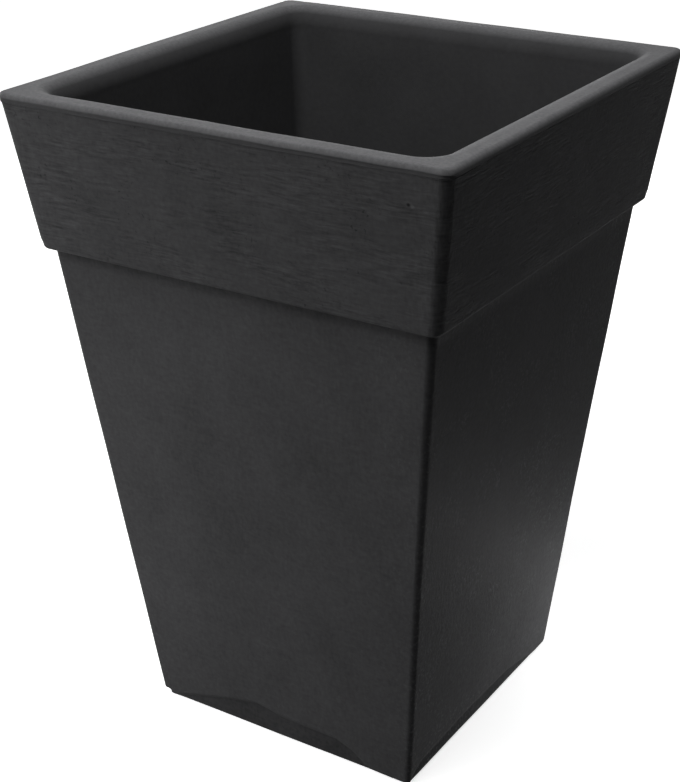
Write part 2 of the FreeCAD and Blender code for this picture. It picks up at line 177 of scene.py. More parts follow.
# ---- patterns of the coats: the size of one lump along X, Y and Z ------------------------
STROKES = (0.019, 0.019, 0.0023)
UPRIGHT_STROKES = (0.0026, 0.0026, 0.018)
WORKED_PATCHES = (0.070, 0.070, 0.026)
WEFT = (0.012, 0.012, 0.0026)
WARP = (0.0026, 0.0026, 0.012)
GRAIN = (0.0042,) * 3
ROUGH_PATCHES = (0.055,) * 3
PITS = (0.0034,) * 3
FLECKS = (0.0028, 0.0028, 0.0036)
CLOUDS = (0.075, 0.075, 0.11)
MOULD_CLOUDS = (0.08,) * 3
ORANGE_PEEL = (0.005,) * 3
RIM_TOP_MOTTLE = (0.0032,) * 3
RIM_TOP_PATCHES = (0.030,) * 3

# Strokes and weave drift off their lines by this much, in lumps of this size.
DRIFT_SIZE = 0.045
DRIFT_REACH = 0.0045

# Where a pattern comes in, from none to all of it: by the distance from an upright corner, by
# height, by the place along X, and by height over the collar's foot or the rim's top.
UPRIGHTS_NEAR_CORNER = (0.045, 0.015)
WORN_NEAR_CORNER = (0.022, 0.010)
WORN_BELOW = (0.36, 0.28)
PEBBLED_RIGHT_OF = (0.13, 0.15)
COLLAR_STARTS = (-0.001, 0.002)
# Painted shade: the band under the collar's foot where the body's coat is painted darker.
SHADE_UNDER_COLLAR = (-0.013, -0.002)
# Painted highlight: the band on the rim's top that is painted paler.
HIGHLIGHT_ON_RIM_TOP = (-0.0065, -0.0010)
PINHOLE_REACH = (0.0022, 0.0008)
NIB_REACH = (0.0026, 0.0008)

MOULD_RELIEF = 0.00012
MATT_SPECULAR = 0.015
PLASTIC_IOR = 1.5

# ---- mesh columns round the planter ------------------------------------------------------
SIDES = 4
FLAT_COLUMNS = 132
CORNER_COLUMNS = 14
QUARTER_TURN = math.pi / 2
SHARP_ANGLE = math.radians(32.0)
FINE_ROWS_HEIGHT = 0.038
HOLLOW_SHADE = "hollow_share"

# ---- camera ------------------------------------------------------------------------------
PICTURE_HEIGHT = 782
FOCAL_PIXELS = 1658.0
VIEW_AZIMUTH = math.radians(32.94)
VIEW_ELEVATION = math.radians(24.80)
VIEW_ROLL = math.radians(-0.71)
VIEW_DISTANCE = 1.6712
AIM_RIGHT = -0.01626
AIM_UP = 0.00094
AIM_HEIGHT = 0.330

# ---- lamps: name, setting of its power, place, what it faces, and width ------------------
MIDDLE = (0.0, 0.0, AIM_HEIGHT)
LAMPS = (
    ("top_lamp", "top_light", (0.0, 0.0, 2.4), MIDDLE, 1.6),
    ("front_lamp", "front_light", (0.0, -1.2, 2.3), MIDDLE, 1.2),
    ("left_lamp", "left_light", (-1.6, -1.6, 0.9), MIDDLE, 1.2),
    ("back_lamp", "back_light", (-1.1, 1.6, 0.5), MIDDLE, 1.2),
    ("low_lamp", "low_light", (-1.1, -0.75, 0.25), (0.0, -0.1, 0.1), 0.7),
    ("left_glint", "left_glint", (-0.45, -0.5, 0.05), (-0.14, -0.15, 0.06), 0.25),
    ("right_glint", "right_glint", (0.4, 0.22, 0.03), (0.16, 0.09, -0.12), 0.15),
    ("corner_glint", "corner_glint", (0.28, 0.26, 0.02), (0.155, 0.13, -0.08), 0.08),
)

# The floor's glow rises between these distances from the planter to its far strength.
GLOW_FROM = 0.35
GLOW_TO = 2.2
GLOW_FAR = 1.1


def linear(code):
    """A colour of the screen, written as #rrggbb, as the linear values that the renderer uses."""
    parts = [int(code[i:i + 2], 16) / 255 for i in (1, 3, 5)]
    return tuple(v / 12.92 if v <= 0.04045 else ((v + 0.055) / 1.055) ** 2.4 for v in parts)


def length(name, description, default):
    """A size that a user may change."""
    return bpy.props.FloatProperty(
        name=name, description=description, default=default, min=0.0, precision=5,
        subtype="DISTANCE", unit="LENGTH")


def colour(name, description, code):
    """A colour that a user may change."""
    return bpy.props.FloatVectorProperty(
        name=name, description=description, default=linear(code), size=3, min=0.0, max=1.0,
        subtype="COLOR")


def power(name, description, default):
    """A lamp's power, in watts."""
    return bpy.props.FloatProperty(
        name=name, description=description, default=default, min=0.0, unit="POWER")


class PlanterShape(bpy.types.PropertyGroup):
    """Sizes of the hand work"""
    hollow_depth: length(
        "Hollow depth", "How far the hollow over the base edge is pressed in", 0.0022)
    hollow_edge: length("Hollow edge", "Height in which the hollow's upper edge dips in", 0.0055)
    hand_wave: length("Hand-laid unevenness", "How far the faces wander from flat", 0.00045)
    seam_bead: length("Seam bead", "Radius of the resin that stands out of the rim's seam", 0.0008)


class PlanterFinish(bpy.types.PropertyGroup):
    """Colours of the pieces, and how worked the coat is"""
    coat: colour("Coat", "Pigmented coat of the planter", "#404041")
    shelf: colour("Shelf", "Laminate of the lift-out shelf", "#474849")
    foam: colour("Foam", "Rigid foam boards", "#d9c894")
    softwood: colour("Softwood", "Rim rails", "#b98f5e")
    plywood: colour("Plywood", "Board between the floors", "#a98455")
    rubber: colour("Rubber", "Feet, washer and plug", "#232323")
    nylon: colour("Nylon", "Drain sleeve and nut", "#2b2b2c")
    steel: colour("Steel", "Foot screws", "#b9b7b2")
    stroke_depth: length("Stroke depth", "Depth of the brush strokes in the coat", 0.0005)
    stroke_contrast: bpy.props.FloatProperty(
        name="Stroke contrast", description="How far the strokes lighten and darken the coat",
        default=1.1, min=0.0)
    # Painted highlight: how much paler the rim's level top is painted, for the light that falls on
    # it from above.
    rim_top_highlight: bpy.props.FloatProperty(
        name="Rim top highlight", description="How much paler than the coat the rim's level top is",
        default=1.7, min=0.0)


class PlanterStage(bpy.types.PropertyGroup):
    """The floor, the lamps' powers and the sky"""
    floor_size: length("Floor size", "Half width of the pale floor", 40.0)
    floor: colour("Floor", "The floor as the camera sees it", "#f4f4f4")
    bounce: colour("Bounce", "The floor as it lights the planter", "#6e6e6e")
    glow: bpy.props.FloatProperty(
        name="Glow", description="How brightly the floor shines beside the planter", default=0.82)
    top_light: power("Top light", "Soft light above the planter", 12.9)
    front_light: power("Front light", "Soft light high up in front", 21.7)
    left_light: power("Left light", "Soft light from the left of the front", 10.2)
    low_light: power("Low light", "Small light low on the left", 7.9)
    left_glint: power("Left glint", "Light on the floor beside the front left corner", 1.0)
    right_glint: power("Right glint", "Light on the floor beside the right-hand side", 0.52)
    corner_glint: power("Corner glint", "Light on the floor beside the back right corner", 0.30)
    back_light: power("Back light", "Soft light on the two sides behind", 9.0)
    sky: bpy.props.FloatProperty(
        name="Sky", description="Strength of the even light from all round", default=0.016, min=0.0)


# ---- grids -------------------------------------------------------------------------------

def square_columns():
    """Columns round a rounded square, from the left end of the front side, the same number on
    each side. Each has a place along its side's flat (-1 to 1), the angle of its outward
    direction from -Y, the angle turned in its corner, and its side's number."""
    flat = np.linspace(-1.0, 1.0, FLAT_COLUMNS, endpoint=False)
    arc = np.linspace(0.0, QUARTER_TURN, CORNER_COLUMNS, endpoint=False)
    along = np.tile(np.concatenate([flat, np.ones(CORNER_COLUMNS)]), SIDES)
    bend = np.tile(np.concatenate([np.zeros(FLAT_COLUMNS), arc]), SIDES)
    side = np.repeat(np.arange(SIDES), FLAT_COLUMNS + CORNER_COLUMNS)
    return along, bend + side * QUARTER_TURN, bend, side


ALONG, OUTWARD, BEND, SIDE = square_columns()
OUT_X, OUT_Y = np.sin(OUTWARD), -np.cos(OUTWARD)
SIDE_X, SIDE_Y = np.cos(SIDE * QUARTER_TURN), np.sin(SIDE * QUARTER_TURN)


def smooth(value):
    """0 below 0, 1 above 1, and a smooth step between: 3 v squared less 2 v cubed."""
    v = np.clip(value, 0.0, 1.0)
    return v * v * (3.0 - 2.0 * v)


def straight(start, end, count):
    """Rows on a straight line of the profile, without its end. A row is a half width, a height
    and the radius of the square's corners."""
    share = np.linspace(0.0, 1.0, count, endpoint=False)[:, None]
    return np.array(start) * (1.0 - share) + np.array(end) * share


def bend(centre, radius, start, end, count):
    """Rows on an arc of the profile, without its end. centre is the arc's half width, height and
    corner radius there, and the corners' radius grows by as much as the half width does."""
    angle = np.radians(np.linspace(start, end, count, endpoint=False))
    half = radius * np.cos(angle)
    rise = radius * np.sin(angle)
    return np.stack([centre[0] + half, centre[1] + rise, centre[2] + half], axis=1)


def square_points(rows):
    """Points of rounded squares, one square a row: the corner of the flats, turned to its side,
    plus the corner's radius in the outward direction."""
    half, height, radius = (rows[:, i:i + 1] for i in range(3))
    flat = half - radius
    x = ALONG * flat * SIDE_X + flat * SIDE_Y + radius * OUT_X
    y = ALONG * flat * SIDE_Y - flat * SIDE_X + radius * OUT_Y
    return np.stack([x, y, np.broadcast_to(height, x.shape)], axis=-1)


def across_side(rows):
    """Distance of each point from the middle of its side, measured along the side and on round
    its corner."""
    half, radius = rows[:, 0:1], rows[:, 2:3]
    return ALONG * (half - radius) + BEND * radius


def pushed(points, distance):
    """The points moved outwards, level, by a distance each."""
    moved = points.copy()
    moved[..., 0] += OUT_X * distance
    moved[..., 1] += OUT_Y * distance
    return moved


def by_side(values):
    """A value for each side, and at the corners a smooth blend from one side's to the next's."""
    here = np.array(values)
    turned = smooth(BEND / QUARTER_TURN)
    return here[SIDE] * (1.0 - turned) + here[(SIDE + 1) % SIDES] * turned


def rounded_off(rows, circle):
    """Points of rounded squares that turn into circles, row by row, by the circle's share."""
    square = square_points(rows)
    direction = square_points(np.array([[BASE_HALF, 0.0, BODY_CORNER_HIGH]]))[..., :2]
    direction = direction / np.linalg.norm(direction, axis=-1, keepdims=True)
    ring = square.copy()
    ring[..., :2] = direction * rows[:, 0:1, None]
    return square + (ring - square) * circle[:, None, None]


def unevenness(points, seed):
    """Wander of a hand-laid face, from -1 to 1: the mean of four sines of the place, in
    directions and with wavelengths that the seed draws."""
    random = np.random.default_rng(seed)
    total = np.zeros(points.shape[:2])
    waves = 4
    for _ in range(waves):
        direction = random.normal(size=3)
        direction /= np.linalg.norm(direction)
        wavelength = random.uniform(WANDER_SHORTEST, WANDER_LONGEST)
        phase = random.uniform(0.0, 2.0 * math.pi)
        total += np.sin(points @ direction * 2.0 * math.pi / wavelength + phase)
    return total / waves


def closed_surface(name, points):
    """A mesh whose grid of points closes on itself both ways. Rows that run down the outside and
    columns that run anticlockwise, seen from above, give faces that point outwards."""
    rows, columns = points.shape[:2]
    row, column = np.meshgrid(np.arange(rows), np.arange(columns), indexing="ij")
    below, beside = (row + 1) % rows, (column + 1) % columns
    faces = np.stack([
        row * columns + column, below * columns + column,
        below * columns + beside, row * columns + beside], axis=-1).reshape(-1, 4)
    mesh = bpy.data.meshes.new(name)
    mesh.from_pydata(points.reshape(-1, 3), [], faces)
    mesh.polygons.foreach_set("use_smooth", np.ones(len(faces), dtype=bool))
    mesh.set_sharp_from_angle(angle=SHARP_ANGLE)
    mesh.update()
    made = bpy.data.objects.new(name, mesh)
    bpy.context.collection.objects.link(made)
    return made


def body_half(z):
    """Half width of the body's outer faces at a height."""
    return BASE_HALF + BODY_FLARE * (z - BASE_Z) / (COLLAR_Z - BASE_Z)


def collar_half(z):
    """Half width of the collar's outer faces at a height."""
    return RIM_HALF - COLLAR_FLARE * (RIM_TOP - z) / (RIM_TOP - COLLAR_Z)


def liner_half(z):
    """Half width of the liner's inner faces at a height."""
    return body_half(z) - WALL_BUILD


def body_corner(z):
    """Radius of the body's upright edges at a height: they are sharper towards the base."""
    return np.interp(z, (BASE_Z, COLLAR_Z), (BODY_CORNER_LOW, BODY_CORNER_HIGH))


def on_body(z, inset=0.0):
    """A profile point on the body's outer face, or inset from it."""
    return (body_half(z) - inset, z, body_corner(z) - inset)


def on_collar(z, inset=0.0):
    """A profile point on the collar's outer face, or inset from it."""
    return (collar_half(z) - inset, z, COLLAR_CORNER - inset)


def on_liner(z, inset=0.0):
    """A profile point on the liner's inner face, or on its back."""
    return (liner_half(z) + inset, z, LINER_CORNER + inset)


# ---- the shell ---------------------------------------------------------------------------

def hollow(points, across, shape):
    """How far the faces are pressed in over the base edge, and how much of that there is. Below a
    line that wanders along each side, the face dips steeply and comes slowly out again, so the
    base edge itself stays straight."""
    line = np.zeros(points.shape[:2])
    for side, (places, heights) in enumerate(HOLLOWS):
        here = SIDE == side
        line[:, here] = np.interp(across[:, here], places, heights)
    below = line - (points[..., 2] - BASE_Z)
    dip = smooth((below + HOLLOW_FADE) / shape.hollow_edge) * smooth(line / HOLLOW_FULL)
    height = (points[..., 2] - BASE_Z) / np.maximum(line, HOLLOW_LEAST)
    return shape.hollow_depth * dip * np.clip(height, HOLLOW_AT_BASE, 1.0), dip


def chipped(points, across):
    """How far the base edge is chipped off at the corner between the left side and the front."""
    left = SIDES - 1
    from_corner = np.where(SIDE == left, -across, across) + BASE_HALF
    near = smooth((CHIP_SPREAD - np.abs(from_corner)) / CHIP_FADE)
    low = smooth((BASE_Z + CHIP_HEIGHT - points[..., 2]) / CHIP_EDGE)
    return CHIP_DEPTH * near * ((SIDE == 0) | (SIDE == left)) * low


def bellied(points):
    """How far the right-hand side stands out towards its foot, where the lay-up sagged."""
    foot = smooth((BELLY_TOP - points[..., 2]) / (BELLY_TOP - BASE_Z))
    return BELLY * by_side(BELLIED_SIDES) * foot


def shell_profile():
    """Rows of the shell: down the outside, in under the base, round the drain well, and back up
    the inside. Returns them with the share of each row that lies on the outside, and the share
    that is a circle round the drain."""
    step_half = collar_half(COLLAR_Z)
    edge = COLLAR_EDGE_ROUND
    root = COLLAR_ROOT_FILLET
    root_half = body_half(COLLAR_Z) + root
    seam = SEAM_EDGE_ROUND
    top_half = collar_half(SEAM_Z)
    base_half = body_half(BASE_Z)
    base_round = BASE_EDGE_ROUND
    inner_floor_z = BASE_Z + SHELL_FLOOR
    fine_z = BASE_Z + FINE_ROWS_HEIGHT
    well_z = BASE_Z + WELL_DEPTH
    boss_z = well_z + WELL_ROOF
    boss = WELL_RADIUS + WELL_ROOF
    outside = np.concatenate([
        bend((top_half - seam, SEAM_Z - seam, COLLAR_CORNER - seam), seam, 90, 0, 4),
        straight(on_collar(SEAM_Z - seam), on_collar(COLLAR_Z + edge), 22),
        bend((step_half - edge, COLLAR_Z + edge, COLLAR_CORNER - edge), edge, 0, -90, 8),
        straight(
            (step_half - edge, COLLAR_Z, COLLAR_CORNER - edge),
            (root_half, COLLAR_Z, BODY_CORNER_HIGH + root), 1),
        bend((root_half, COLLAR_Z - root, BODY_CORNER_HIGH + root), root, 90, 180, 5),
        straight(on_body(COLLAR_Z - root), on_body(fine_z), 30),
        straight(on_body(fine_z), on_body(BASE_Z + base_round), 26),
        bend(
            (base_half - base_round, BASE_Z + base_round, BODY_CORNER_LOW - base_round),
            base_round, 0, -90, 6),
    ])
    under = straight(
        (base_half - base_round, BASE_Z, BODY_CORNER_LOW - base_round),
        (WELL_RADIUS, BASE_Z, 0.0), 7)
    drain = np.concatenate([
        straight((WELL_RADIUS, BASE_Z, 0.0), (WELL_RADIUS, well_z, 0.0), 3),
        straight((WELL_RADIUS, well_z, 0.0), (SLEEVE_RADIUS, well_z, 0.0), 3),
        straight((SLEEVE_RADIUS, well_z, 0.0), (SLEEVE_RADIUS, boss_z, 0.0), 2),
        straight((SLEEVE_RADIUS, boss_z, 0.0), (boss, boss_z, 0.0), 2),
        straight((boss, boss_z, 0.0), (boss, inner_floor_z, 0.0), 2),
        [[boss, inner_floor_z, 0.0]],
    ])
    skin = SHELL_SKIN
    inside = np.concatenate([
        straight(on_body(inner_floor_z, skin), on_body(COLLAR_Z + skin, skin), 6),
        straight(on_body(COLLAR_Z + skin, skin), on_collar(COLLAR_Z + skin, skin), 1),
        straight(on_collar(COLLAR_Z + skin, skin), on_collar(SEAM_Z, skin), 4),
        [on_collar(SEAM_Z, skin)],
    ])
    rows = np.concatenate([outside, under, drain, inside])
    # The wander ends within the first third of the way in under the base.
    inwards = np.linspace(0.0, 1.0, len(under), endpoint=False)
    outer = np.concatenate([
        np.ones(len(outside)), 1.0 - smooth(inwards * 3.0), np.zeros(len(drain) + len(inside))])
    circle = np.concatenate([
        np.zeros(len(outside)), smooth(inwards), np.ones(len(drain)), np.zeros(len(inside))])
    return rows, outer[:, None], circle


def shell_surface(shape):
    """The shell: rounded squares along its profile, which turn into circles round the drain. The
    outside wanders by the hand-laid unevenness, and has the hollow, the chip and the belly."""
    rows, outer, circle = shell_profile()
    points = rounded_off(rows, circle)
    across = across_side(rows)
    pressed, share = hollow(points, across, shape)
    push = shape.hand_wave * (unevenness(points, SHELL_SEED) - 1.0) + bellied(points)
    push -= pressed + chipped(points, across)
    made = closed_surface("shell_skin", pushed(points, push * outer))
    # The hollow's share, kept on the points, sets the painted shade in the hollow's coat.
    shade = made.data.attributes.new(HOLLOW_SHADE, "FLOAT", "POINT")
    shade.data.foreach_set("value", (share * outer).ravel())
    return made


# ---- the rim and the liner ---------------------------------------------------------------

def lip_points(count, end_z, points):
    """The rim's outer edge where its moulding flash was left on: a flat top, a bevel down to a
    sharp lip whose height wanders, a small step in under it, and the skirt down to the seam."""
    top = RIM_HALF - RIM_OUTER_ROUND
    lip = collar_half(RIM_TOP - LIP_DROP) + LIP_OUT
    place = np.linspace(0.0, 1.0, count)
    # Shares of the rows at the flat's two ends, the bevel's top, the lip, its edge, the step
    # under it and the seam, and how far down towards the lip's edge each of them lies.
    knots = (0.0, 0.30, 0.42, 0.74, 0.77, 0.82, 1.0)
    drops = (0.0, 0.0, 0.10, 0.93, 1.0, 1.0, 1.0)
    half = np.interp(place, knots, (
        top, top + LIP_FLAT, lip - LIP_BEVEL, lip, lip - LIP_EDGE, lip - LIP_STEP,
        collar_half(end_z)))
    down = np.interp(place, knots, drops)[:, None]
    skirt = np.interp(place, knots[-2:], (0.0, 1.0))[:, None]
    drop = LIP_DROP + LIP_WANDER * unevenness(points[:1] * 3.0, LIP_SEED)
    made = square_points(np.stack([half, place, COLLAR_CORNER - RIM_HALF + half], axis=1))
    made[..., 2] = RIM_TOP - down * drop - skirt * (RIM_TOP - drop - end_z)
    return made


def lip_share(points):
    """How much of the flash was left on, round the rim: all of it along the front, little on the
    right-hand side, and in stretches on the other two."""
    share = by_side(FLASH_LEFT)
    stretch = smooth(0.6 + 1.2 * unevenness(points[:1], FLASH_SEED))
    return (share + (stretch - 0.5) * 0.5 * share * (1.0 - share))[..., None]


def rim_surface(shape):
    """The cap: from its skirt's lower edge out and over the rolled rim, down the inner flange,
    and back up inside its own thickness and down the tongue."""
    seam_z = SEAM_Z + BOND_GAP
    seam = SEAM_EDGE_ROUND
    skirt_half = collar_half(seam_z) - seam
    outer = RIM_OUTER_ROUND
    roll = RIM_INNER_ROLL
    skin = LINER_SKIN
    under_z = RIM_TOP - skin
    tongue_back = TONGUE_INSET + TONGUE_THICKNESS
    shoulder = (RIM_HALF - outer, RIM_TOP - outer, COLLAR_CORNER - outer)
    rounded = np.concatenate([
        bend(shoulder, outer, 90, 0, 18),
        straight(on_collar(RIM_TOP - outer), on_collar(seam_z + seam), 4),
    ])
    roll_centre = (liner_half(RIM_TOP - roll) + roll, RIM_TOP - roll, LINER_CORNER + roll)
    outside = np.concatenate([
        rounded,
        bend((skirt_half, seam_z + seam, COLLAR_CORNER - seam), seam, 0, -90, 4),
    ])
    inside = np.concatenate([
        straight(
            (skirt_half, seam_z, COLLAR_CORNER - seam), on_collar(seam_z, TONGUE_INSET), 1),
        straight(on_collar(seam_z, TONGUE_INSET), on_collar(TONGUE_END_Z, TONGUE_INSET), 3),
        straight(on_collar(TONGUE_END_Z, TONGUE_INSET), on_collar(TONGUE_END_Z, tongue_back), 1),
        straight(on_collar(TONGUE_END_Z, tongue_back), on_collar(under_z, tongue_back), 3),
        bend(roll_centre, roll - skin, 90, 180, 8),
        straight(on_liner(RIM_TOP - roll, skin), on_liner(CAP_END_Z, skin), 3),
    ])
    mouth = np.concatenate([
        straight(on_liner(CAP_END_Z, skin), on_liner(CAP_END_Z), 1),
        straight(on_liner(CAP_END_Z), on_liner(RIM_TOP - roll), 8),
        bend(roll_centre, roll, 180, 90, 18),
        straight(
            (roll_centre[0], RIM_TOP, roll_centre[2]),
            (shoulder[0], RIM_TOP, shoulder[2]), 8),
    ])
    rows = np.concatenate([outside, inside, mouth])
    shown = np.concatenate([np.ones(len(outside)), np.zeros(len(inside)), np.ones(len(mouth))])
    points = square_points(rows)
    edge = points[:len(rounded)]
    edge += lip_share(points) * (lip_points(len(rounded), seam_z + seam, points) - edge)
    wander = shape.hand_wave * (unevenness(points, RIM_SEED) - 1.0) * shown[:, None]
    level = smooth((rows[:, 1:2] - SEAM_Z) / (RIM_TOP - SEAM_Z))
    points[..., 2] += wander * level
    return closed_surface("rim_skin", points)


def liner_surface(shape):
    """The liner below the cap: down its inner faces to the floor and the drain, and back up
    outside its own thickness."""
    skin = LINER_SKIN
    fillet = LINER_FLOOR_FILLET
    low_half = liner_half(LINER_FLOOR_Z + fillet)
    outside = straight(on_liner(CAP_END_Z, skin), on_liner(LINER_UNDER_Z, skin), 8)
    under = straight(on_liner(LINER_UNDER_Z, skin), (SLEEVE_RADIUS, LINER_UNDER_Z, 0.0), 5)
    bore = np.concatenate([
        straight(
            (SLEEVE_RADIUS, LINER_UNDER_Z, 0.0), (SLEEVE_RADIUS, LINER_FLOOR_Z, 0.0), 2),
        [[SLEEVE_RADIUS, LINER_FLOOR_Z, 0.0]],
    ])
    floor = straight(
        (SLEEVE_RADIUS, LINER_FLOOR_Z, 0.0),
        (low_half - fillet, LINER_FLOOR_Z, LINER_CORNER - fillet), 9)[1:]
    wall = np.concatenate([
        bend(
            (low_half - fillet, LINER_FLOOR_Z + fillet, LINER_CORNER - fillet),
            fillet, -90, 0, 6),
        straight(on_liner(LINER_FLOOR_Z + fillet), on_liner(CAP_END_Z), 60),
        [on_liner(CAP_END_Z)],
    ])
    rows = np.concatenate([outside, under, bore, floor, wall])
    circle = np.concatenate([
        np.zeros(len(outside)),
        smooth(np.linspace(0.0, 1.0, len(under), endpoint=False)),
        np.ones(len(bore)),
        1.0 - smooth(np.linspace(0.0, 1.0, len(floor) + 1)[:-1]),
        np.zeros(len(wall)),
    ])
    points = rounded_off(rows, circle)
    shown = np.concatenate([np.zeros(len(rows) - len(wall)), np.ones(len(wall))])
    under_cap = smooth((CAP_END_Z - rows[:, 1]) / LINER_CALM)
    push = shape.hand_wave * 2.0 * unevenness(points, LINER_SEED) * (shown * under_cap)[:, None]
    return closed_surface("liner_skin", pushed(points, push))


def seam_bead_surface(shape):
    """Resin squeezed out of the rim's seam: a thin ring a third sunk in the collar's outer face,
    whose radius and height wander along it."""
    turns = np.linspace(0.0, 2.0 * math.pi, 10, endpoint=False)
    centre_z = SEAM_Z + BOND_GAP / 2
    rows = np.repeat(np.array([on_collar(centre_z)]), len(turns), axis=0)
    ring = square_points(rows)
    swell = 0.55 + 0.45 * unevenness(ring * 3.0, BEAD_SWELL_SEED)
    radius = shape.seam_bead * swell
    ring[..., 2] += shape.seam_bead * 0.8 * unevenness(ring * 2.0, BEAD_HEIGHT_SEED)
    ring = pushed(ring, -shape.seam_bead * 0.35 + radius * np.cos(turns)[:, None])
    ring[..., 2] += radius * np.sin(turns)[:, None]
    return closed_surface("seam_bead", ring[::-1])


# ---- finishes ----------------------------------------------------------------------------

def node(tree, kind, inputs=None, **settings):
    """Adds a node. inputs gives each socket, by name or number, a value or another's output."""
    made = tree.nodes.new(kind)
    for name, value in settings.items():
        setattr(made, name, value)
    for socket, value in (inputs or {}).items():
        if isinstance(value, bpy.types.NodeSocket):
            tree.links.new(value, made.inputs[socket])
        else:
            made.inputs[socket].default_value = value
    return made


def new_material(name, roughness, metallic=0.0, specular=0.5):
    """A material with one shader, and the object's own coordinates in metres."""
    made = bpy.data.materials.new(name)
    made.use_nodes = True
    tree = made.node_tree
    tree.nodes.clear()
    shader = node(tree, "ShaderNodeBsdfPrincipled", {
        "Roughness": roughness, "IOR": PLASTIC_IOR, "Metallic": metallic,
        "Specular IOR Level": specular})
    node(tree, "ShaderNodeOutputMaterial", {"Surface": shader.outputs["BSDF"]})
    place = node(tree, "ShaderNodeTexCoord").outputs["Object"]
    return made, tree, shader, place


def per_metre(sizes):
    """Mapping scales that make one step of a pattern as large as these sizes along X, Y and Z."""
    return tuple(1.0 / size for size in sizes)


def maths(tree, operation, *values):
    """The result of one sum of numbers or outputs."""
    return node(
        tree, "ShaderNodeMath", dict(enumerate(values)), operation=operation).outputs[0]


def product(tree, *factors):
    """The factors multiplied, the first two first."""
    made = factors[0]
    for factor in factors[1:]:
        made = maths(tree, "MULTIPLY", made, factor)
    return made


def layered(tree, base, *layers):
    """A value with patterns laid over it in turn, each by its own amount."""
    for pattern, amount in layers:
        base = maths(tree, "MULTIPLY_ADD", pattern, amount, base)
    return base


def ramp(tree, value, low, high, to_low=0.0, to_high=1.0):
    """A value drawn from one range to another, and held at its ends."""
    return node(tree, "ShaderNodeMapRange", {
        "Value": value, "From Min": low, "From Max": high,
        "To Min": to_low, "To Max": to_high}).outputs[0]


def noise(tree, place, sizes, detail=2.0, rough=0.5):
    """Noise from 0 to 1 whose lumps have these sizes in metres along X, Y and Z."""
    spot = node(tree, "ShaderNodeMapping", {
        "Vector": place, "Scale": per_metre(sizes)}).outputs[0]
    return node(tree, "ShaderNodeTexNoise", {
        "Vector": spot, "Scale": 1.0, "Detail": detail, "Roughness": rough}).outputs["Fac"]


def swing(tree, place, sizes, detail=2.0, rough=0.5):
    """The same noise, from -0.5 to 0.5."""
    return maths(tree, "SUBTRACT", noise(tree, place, sizes, detail, rough), 0.5)


def warped(tree, place):
    """The place, moved about by a broad noise, so that strokes aren't ruled lines."""
    drift = node(tree, "ShaderNodeTexNoise", {
        "Vector": place, "Scale": 1.0 / DRIFT_SIZE, "Detail": 1.0}).outputs["Color"]
    return node(tree, "ShaderNodeVectorMath", {
        0: drift, 1: (DRIFT_REACH,) * 3, 2: place}, operation="MULTIPLY_ADD").outputs[0]


def spot_at(tree, place, centre, outer, inner):
    """1 within a small radius of a point, and 0 beyond a larger one."""
    away = node(tree, "ShaderNodeVectorMath", {0: place, 1: centre}, operation="DISTANCE")
    return ramp(tree, away.outputs["Value"], outer, inner)


def times(tree, rgb, factor):
    """A colour made lighter or darker by a factor."""
    return node(
        tree, "ShaderNodeVectorMath", {0: rgb, "Scale": factor}, operation="SCALE").outputs[0]


def relief(tree, shader, height, depth):
    """Raises the surface by a height pattern, one unit of which is a depth in metres."""
    bump = node(tree, "ShaderNodeBump", {"Height": height, "Strength": 1.0, "Distance": depth})
    tree.links.new(bump.outputs[0], shader.inputs["Normal"])


def solid(rgb):
    """A colour with full opacity, as a colour socket wants it."""
    return (*rgb, 1.0)


def dressed(obj, material):
    """Gives an object one material."""
    obj.data.materials.clear()
    obj.data.materials.append(material)
    obj.data.polygons.foreach_set("material_index", np.zeros(len(obj.data.polygons), dtype=int))


